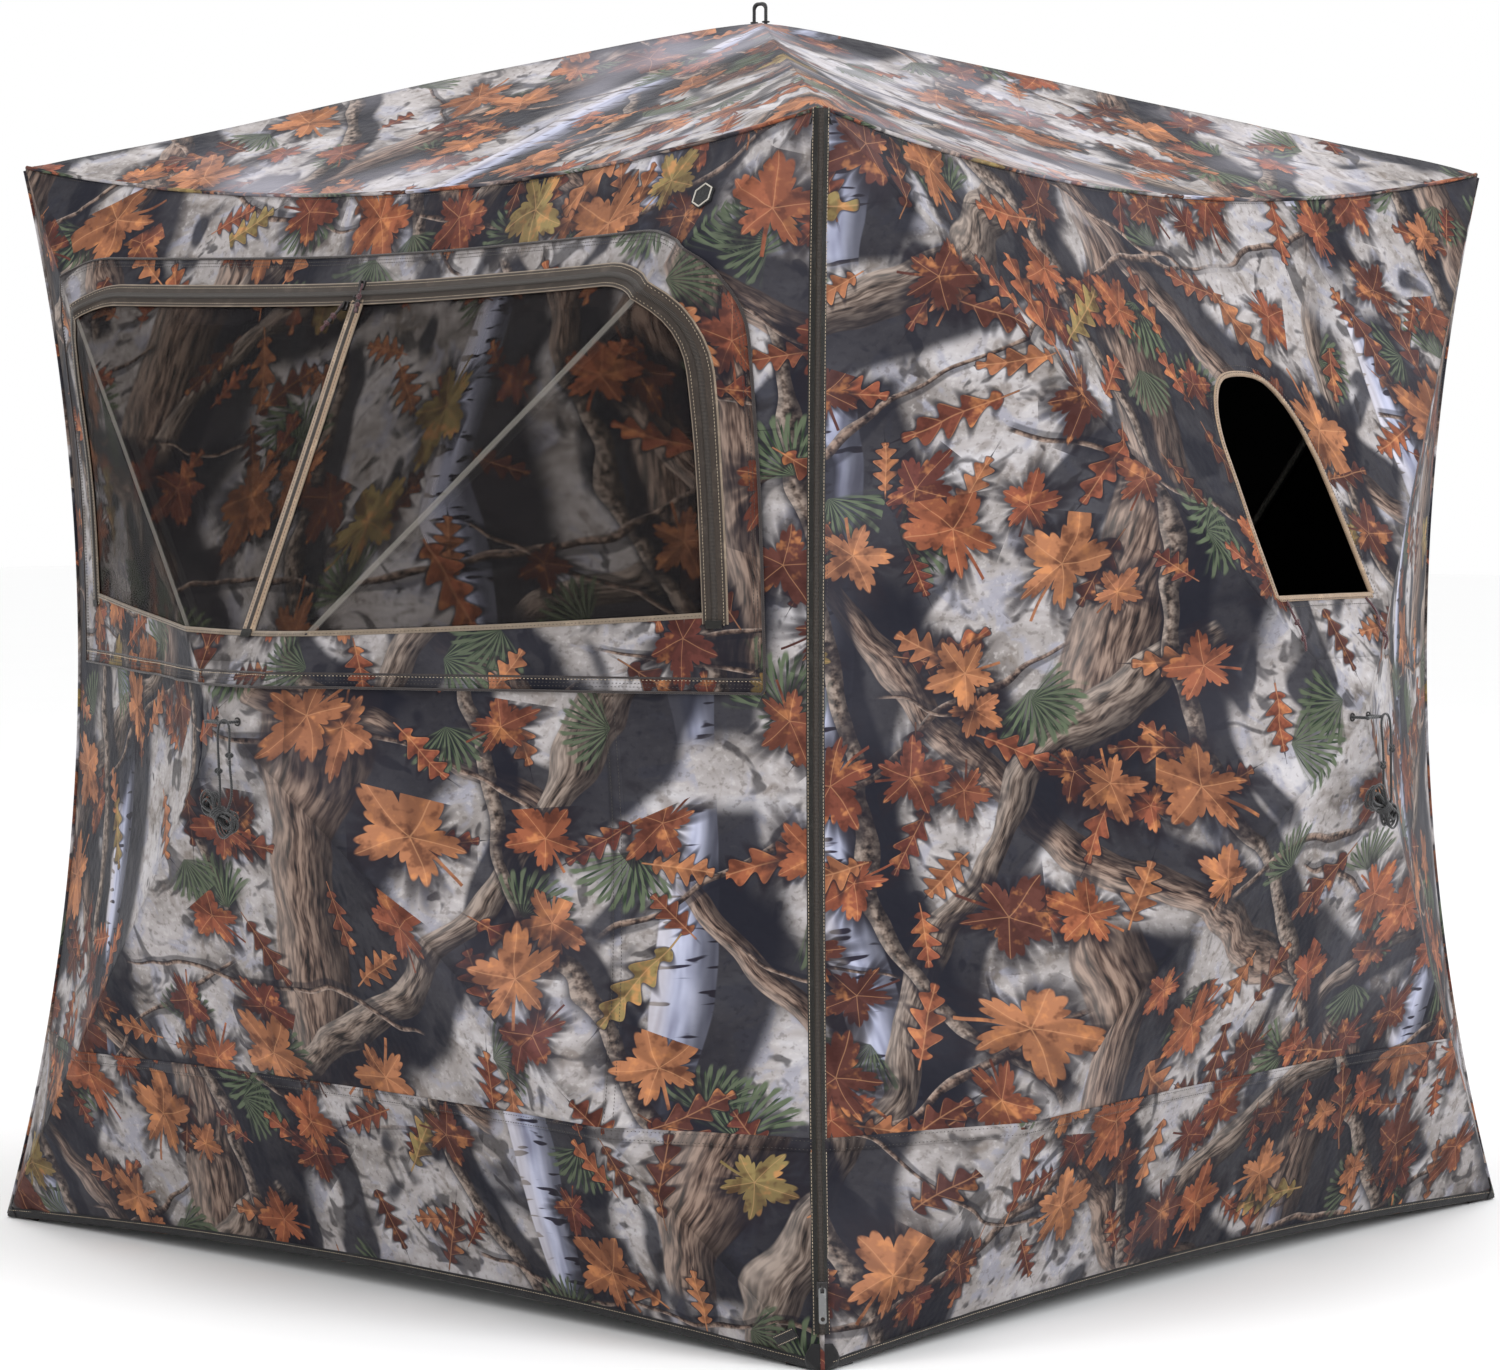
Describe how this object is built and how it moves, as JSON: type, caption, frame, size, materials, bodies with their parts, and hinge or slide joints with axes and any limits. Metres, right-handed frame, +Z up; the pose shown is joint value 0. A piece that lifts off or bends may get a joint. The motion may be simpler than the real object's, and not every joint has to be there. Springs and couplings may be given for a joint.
{
  "type": "pop up ground blind",
  "caption": "Square pop-up hide with a sprung pole hub in each wall and the roof, a corner door zip, a wide mesh window and an open arch window",
  "frame": {"origin": "centre of the footprint, on the ground", "axes": "+Z up; -Y out of the front wall, the one with the wide mesh window; +X out of the right wall, the one with the arch window"},
  "size_m": [2.072, 2.072, 1.705],
  "materials": {
    "camo_cloth": "printed leaf and branch camouflage polyester, matt",
    "mesh_cloth": "printed see-through window mesh",
    "webbing": "black woven binding",
    "zip_tape": "dark brown zip tape and coil",
    "zip_metal": "dull die-cast zip slider",
    "cord": "black braided cord",
    "pull_cord": "dark maroon knotted cord on a black slider",
    "fibreglass": "light grey fibreglass rod with metal ferrule and black rubber tip",
    "hub_plastic": "black moulded nylon",
    "steel_pin": "steel pin",
    "badge_rubber": "black rubber patch with a pale rim, blank"
  },
  "bodies": {
    "shell": {"wall_front_cloth": "camo_cloth", "wall_right_cloth": "camo_cloth", "wall_back_cloth": "camo_cloth", "wall_left_cloth": "camo_cloth", "roof_cloth": "camo_cloth", "tip_pockets_lower": "webbing", "tip_pockets_upper": "webbing", "hem_binding": "webbing", "window_mesh": "mesh_cloth", "window_border": "camo_cloth", "window_zip_edge": "zip_tape", "window_zip_centre": "zip_tape", "arch_flap_roll": "camo_cloth", "arch_ties": "pull_cord", "door_zip": "zip_tape", "badge_blank": "badge_rubber", "corner_tab_blank": "webbing"},
    "hub_front": {"hub_front": "hub_plastic", "hub_pins_front": "steel_pin"},
    "pole_front_bl": {"pole_front_bl": "fibreglass"},
    "pole_front_br": {"pole_front_br": "fibreglass"},
    "pole_front_tr": {"pole_front_tr": "fibreglass"},
    "pole_front_tl": {"pole_front_tl": "fibreglass"},
    "tie_front": {"tie_rope_front": "cord", "tie_hank_front": "cord"},
    "hub_right": {"hub_right": "hub_plastic", "hub_pins_right": "steel_pin"},
    "pole_right_bl": {"pole_right_bl": "fibreglass"},
    "pole_right_br": {"pole_right_br": "fibreglass"},
    "pole_right_tr": {"pole_right_tr": "fibreglass"},
    "pole_right_tl": {"pole_right_tl": "fibreglass"},
    "tie_right": {"tie_rope_right": "cord", "tie_hank_right": "cord"},
    "hub_back": {"hub_back": "hub_plastic", "hub_pins_back": "steel_pin"},
    "pole_back_bl": {"pole_back_bl": "fibreglass"},
    "pole_back_br": {"pole_back_br": "fibreglass"},
    "pole_back_tr": {"pole_back_tr": "fibreglass"},
    "pole_back_tl": {"pole_back_tl": "fibreglass"},
    "tie_back": {"tie_rope_back": "cord", "tie_hank_back": "cord"},
    "hub_left": {"hub_left": "hub_plastic", "hub_pins_left": "steel_pin"},
    "pole_left_bl": {"pole_left_bl": "fibreglass"},
    "pole_left_br": {"pole_left_br": "fibreglass"},
    "pole_left_tr": {"pole_left_tr": "fibreglass"},
    "pole_left_tl": {"pole_left_tl": "fibreglass"},
    "tie_left": {"tie_rope_left": "cord", "tie_hank_left": "cord"},
    "hub_roof": {"hub_roof": "hub_plastic", "hub_pins_roof": "steel_pin"},
    "pole_roof_fl": {"pole_roof_fl": "fibreglass"},
    "pole_roof_fr": {"pole_roof_fr": "fibreglass"},
    "pole_roof_br": {"pole_roof_br": "fibreglass"},
    "pole_roof_bl": {"pole_roof_bl": "fibreglass"},
    "door_slider": {"door_slider": "zip_metal"},
    "door_pull": {"door_pull": "zip_metal"},
    "window_zip_head": {"window_zip_stops": "zip_metal"},
    "window_slider_edge": {"window_slider_edge": "pull_cord"},
    "window_slider_centre": {"window_slider_centre": "pull_cord"}
  },
  "joints": [
    {"name": "hub_front_push", "type": "slide", "parent": "shell", "child": "hub_front", "axis": [0, 1, 0], "range_m": [0, 0.488], "deforming": ["wall_front_cloth", "window_mesh", "window_border", "window_zip_edge", "window_zip_centre"]},
    {"name": "pole_front_bl_hinge", "type": "hinge", "parent": "hub_front", "child": "pole_front_bl", "pos_m": [-0.01919, -0.98, 0.72301], "axis": [-0.7033, 0, 0.7109], "range_deg": [0, 28.06]},
    {"name": "pole_front_br_hinge", "type": "hinge", "parent": "hub_front", "child": "pole_front_br", "pos_m": [0.01919, -0.98, 0.72301], "axis": [-0.7033, 0, -0.7109], "range_deg": [0, 28.06]},
    {"name": "pole_front_tr_hinge", "type": "hinge", "parent": "hub_front", "child": "pole_front_tr", "pos_m": [0.01904, -0.98, 0.76114], "axis": [0.7091, 0, -0.7052], "range_deg": [0, 28.68]},
    {"name": "pole_front_tl_hinge", "type": "hinge", "parent": "hub_front", "child": "pole_front_tl", "pos_m": [-0.01904, -0.98, 0.76114], "axis": [0.7091, 0, 0.7052], "range_deg": [0, 28.68]},
    {"name": "tie_front_swing", "type": "hinge", "parent": "hub_front", "child": "tie_front", "pos_m": [0.02, -1.019, 0.744], "axis": [-1, 0, 0], "range_deg": [0, 26]},
    {"name": "hub_right_push", "type": "slide", "parent": "shell", "child": "hub_right", "axis": [-1, 0, 0], "range_m": [0, 0.488], "deforming": ["wall_right_cloth", "arch_flap_roll", "arch_ties"]},
    {"name": "pole_right_bl_hinge", "type": "hinge", "parent": "hub_right", "child": "pole_right_bl", "pos_m": [0.98, -0.01919, 0.72301], "axis": [0, -0.7033, 0.7109], "range_deg": [0, 28.06]},
    {"name": "pole_right_br_hinge", "type": "hinge", "parent": "hub_right", "child": "pole_right_br", "pos_m": [0.98, 0.01919, 0.72301], "axis": [0, -0.7033, -0.7109], "range_deg": [0, 28.06]},
    {"name": "pole_right_tr_hinge", "type": "hinge", "parent": "hub_right", "child": "pole_right_tr", "pos_m": [0.98, 0.01904, 0.76114], "axis": [0, 0.7091, -0.7052], "range_deg": [0, 28.68]},
    {"name": "pole_right_tl_hinge", "type": "hinge", "parent": "hub_right", "child": "pole_right_tl", "pos_m": [0.98, -0.01904, 0.76114], "axis": [0, 0.7091, 0.7052], "range_deg": [0, 28.68]},
    {"name": "tie_right_swing", "type": "hinge", "parent": "hub_right", "child": "tie_right", "pos_m": [1.019, 0.02, 0.744], "axis": [0, -1, 0], "range_deg": [0, 26]},
    {"name": "hub_back_push", "type": "slide", "parent": "shell", "child": "hub_back", "axis": [0, -1, 0], "range_m": [0, 0.488], "deforming": ["wall_back_cloth", "tip_pockets_lower"]},
    {"name": "pole_back_bl_hinge", "type": "hinge", "parent": "hub_back", "child": "pole_back_bl", "pos_m": [0.01919, 0.98, 0.72301], "axis": [0.7033, 0, 0.7109], "range_deg": [0, 28.06]},
    {"name": "pole_back_br_hinge", "type": "hinge", "parent": "hub_back", "child": "pole_back_br", "pos_m": [-0.01919, 0.98, 0.72301], "axis": [0.7033, 0, -0.7109], "range_deg": [0, 28.06]},
    {"name": "pole_back_tr_hinge", "type": "hinge", "parent": "hub_back", "child": "pole_back_tr", "pos_m": [-0.01904, 0.98, 0.76114], "axis": [-0.7091, 0, -0.7052], "range_deg": [0, 28.68]},
    {"name": "pole_back_tl_hinge", "type": "hinge", "parent": "hub_back", "child": "pole_back_tl", "pos_m": [0.01904, 0.98, 0.76114], "axis": [-0.7091, 0, 0.7052], "range_deg": [0, 28.68]},
    {"name": "tie_back_swing", "type": "hinge", "parent": "hub_back", "child": "tie_back", "pos_m": [-0.02, 1.019, 0.744], "axis": [1, 0, 0], "range_deg": [0, 26]},
    {"name": "hub_left_push", "type": "slide", "parent": "shell", "child": "hub_left", "axis": [1, 0, 0], "range_m": [0, 0.488], "deforming": ["wall_left_cloth"]},
    {"name": "pole_left_bl_hinge", "type": "hinge", "parent": "hub_left", "child": "pole_left_bl", "pos_m": [-0.98, 0.01919, 0.72301], "axis": [0, 0.7033, 0.7109], "range_deg": [0, 28.06]},
    {"name": "pole_left_br_hinge", "type": "hinge", "parent": "hub_left", "child": "pole_left_br", "pos_m": [-0.98, -0.01919, 0.72301], "axis": [0, 0.7033, -0.7109], "range_deg": [0, 28.06]},
    {"name": "pole_left_tr_hinge", "type": "hinge", "parent": "hub_left", "child": "pole_left_tr", "pos_m": [-0.98, -0.01904, 0.76114], "axis": [0, -0.7091, -0.7052], "range_deg": [0, 28.68]},
    {"name": "pole_left_tl_hinge", "type": "hinge", "parent": "hub_left", "child": "pole_left_tl", "pos_m": [-0.98, 0.01904, 0.76114], "axis": [0, -0.7091, 0.7052], "range_deg": [0, 28.68]},
    {"name": "tie_left_swing", "type": "hinge", "parent": "hub_left", "child": "tie_left", "pos_m": [-1.019, -0.02, 0.744], "axis": [0, 1, 0], "range_deg": [0, 26]},
    {"name": "hub_roof_push", "type": "slide", "parent": "shell", "child": "hub_roof", "axis": [0, 0, -1], "range_m": [0, 0.379], "deforming": ["roof_cloth", "tip_pockets_upper"]},
    {"name": "pole_roof_fl_hinge", "type": "hinge", "parent": "hub_roof", "child": "pole_roof_fl", "pos_m": [-0.01909, -0.01909, 1.656], "axis": [-0.7071, 0.7071, 0], "range_deg": [0, 22.6]},
    {"name": "pole_roof_fr_hinge", "type": "hinge", "parent": "hub_roof", "child": "pole_roof_fr", "pos_m": [0.01909, -0.01909, 1.656], "axis": [-0.7071, -0.7071, 0], "range_deg": [0, 22.6]},
    {"name": "pole_roof_br_hinge", "type": "hinge", "parent": "hub_roof", "child": "pole_roof_br", "pos_m": [0.01909, 0.01909, 1.656], "axis": [0.7071, -0.7071, 0], "range_deg": [0, 22.6]},
    {"name": "pole_roof_bl_hinge", "type": "hinge", "parent": "hub_roof", "child": "pole_roof_bl", "pos_m": [-0.01909, 0.01909, 1.656], "axis": [0.7071, 0.7071, 0], "range_deg": [0, 22.6]},
    {"name": "door_zip_travel", "type": "hinge", "parent": "shell", "child": "door_slider", "pos_m": [2.87701, -2.87701, 0.8107], "axis": [0.7071, 0.7071, 0], "range_deg": [0, 24.4]},
    {"name": "door_pull_flip", "type": "hinge", "parent": "door_slider", "child": "door_pull", "pos_m": [0.74433, -0.74433, 0.0969], "axis": [-0.7071, -0.7071, 0], "range_deg": [0, 150]},
    {"name": "window_zip_follow", "type": "slide", "parent": "shell", "child": "window_zip_head", "axis": [0, 1, 0], "range_m": [0, 0.0293]},
    {"name": "window_edge_zip_travel", "type": "slide", "parent": "window_zip_head", "child": "window_slider_edge", "axis": [0.9996, -0.0217, 0.02], "range_m": [0, 0.3]},
    {"name": "window_centre_zip_travel", "type": "slide", "parent": "window_zip_head", "child": "window_slider_centre", "axis": [0, -0.415, -0.9098], "range_m": [0, 0.38]}
  ],
  "couplings": [
    {"joint": "pole_front_bl_hinge", "follows": "hub_front_push", "rad_per_m": 1.0031},
    {"joint": "pole_front_br_hinge", "follows": "hub_front_push", "rad_per_m": 1.0031},
    {"joint": "pole_front_tr_hinge", "follows": "hub_front_push", "rad_per_m": 1.0252},
    {"joint": "pole_front_tl_hinge", "follows": "hub_front_push", "rad_per_m": 1.0252},
    {"joint": "tie_front_swing", "follows": "hub_front_push", "rad_per_m": 0.92942},
    {"joint": "pole_right_bl_hinge", "follows": "hub_right_push", "rad_per_m": 1.0031},
    {"joint": "pole_right_br_hinge", "follows": "hub_right_push", "rad_per_m": 1.0031},
    {"joint": "pole_right_tr_hinge", "follows": "hub_right_push", "rad_per_m": 1.0252},
    {"joint": "pole_right_tl_hinge", "follows": "hub_right_push", "rad_per_m": 1.0252},
    {"joint": "tie_right_swing", "follows": "hub_right_push", "rad_per_m": 0.92942},
    {"joint": "pole_back_bl_hinge", "follows": "hub_back_push", "rad_per_m": 1.0031},
    {"joint": "pole_back_br_hinge", "follows": "hub_back_push", "rad_per_m": 1.0031},
    {"joint": "pole_back_tr_hinge", "follows": "hub_back_push", "rad_per_m": 1.0252},
    {"joint": "pole_back_tl_hinge", "follows": "hub_back_push", "rad_per_m": 1.0252},
    {"joint": "tie_back_swing", "follows": "hub_back_push", "rad_per_m": 0.92942},
    {"joint": "pole_left_bl_hinge", "follows": "hub_left_push", "rad_per_m": 1.0031},
    {"joint": "pole_left_br_hinge", "follows": "hub_left_push", "rad_per_m": 1.0031},
    {"joint": "pole_left_tr_hinge", "follows": "hub_left_push", "rad_per_m": 1.0252},
    {"joint": "pole_left_tl_hinge", "follows": "hub_left_push", "rad_per_m": 1.0252},
    {"joint": "tie_left_swing", "follows": "hub_left_push", "rad_per_m": 0.92942},
    {"joint": "pole_roof_fl_hinge", "follows": "hub_roof_push", "rad_per_m": 1.0402},
    {"joint": "pole_roof_fr_hinge", "follows": "hub_roof_push", "rad_per_m": 1.0402},
    {"joint": "pole_roof_br_hinge", "follows": "hub_roof_push", "rad_per_m": 1.0402},
    {"joint": "pole_roof_bl_hinge", "follows": "hub_roof_push", "rad_per_m": 1.0402},
    {"joint": "window_zip_follow", "follows": "hub_front_push", "ratio": 0.06}
  ]
}
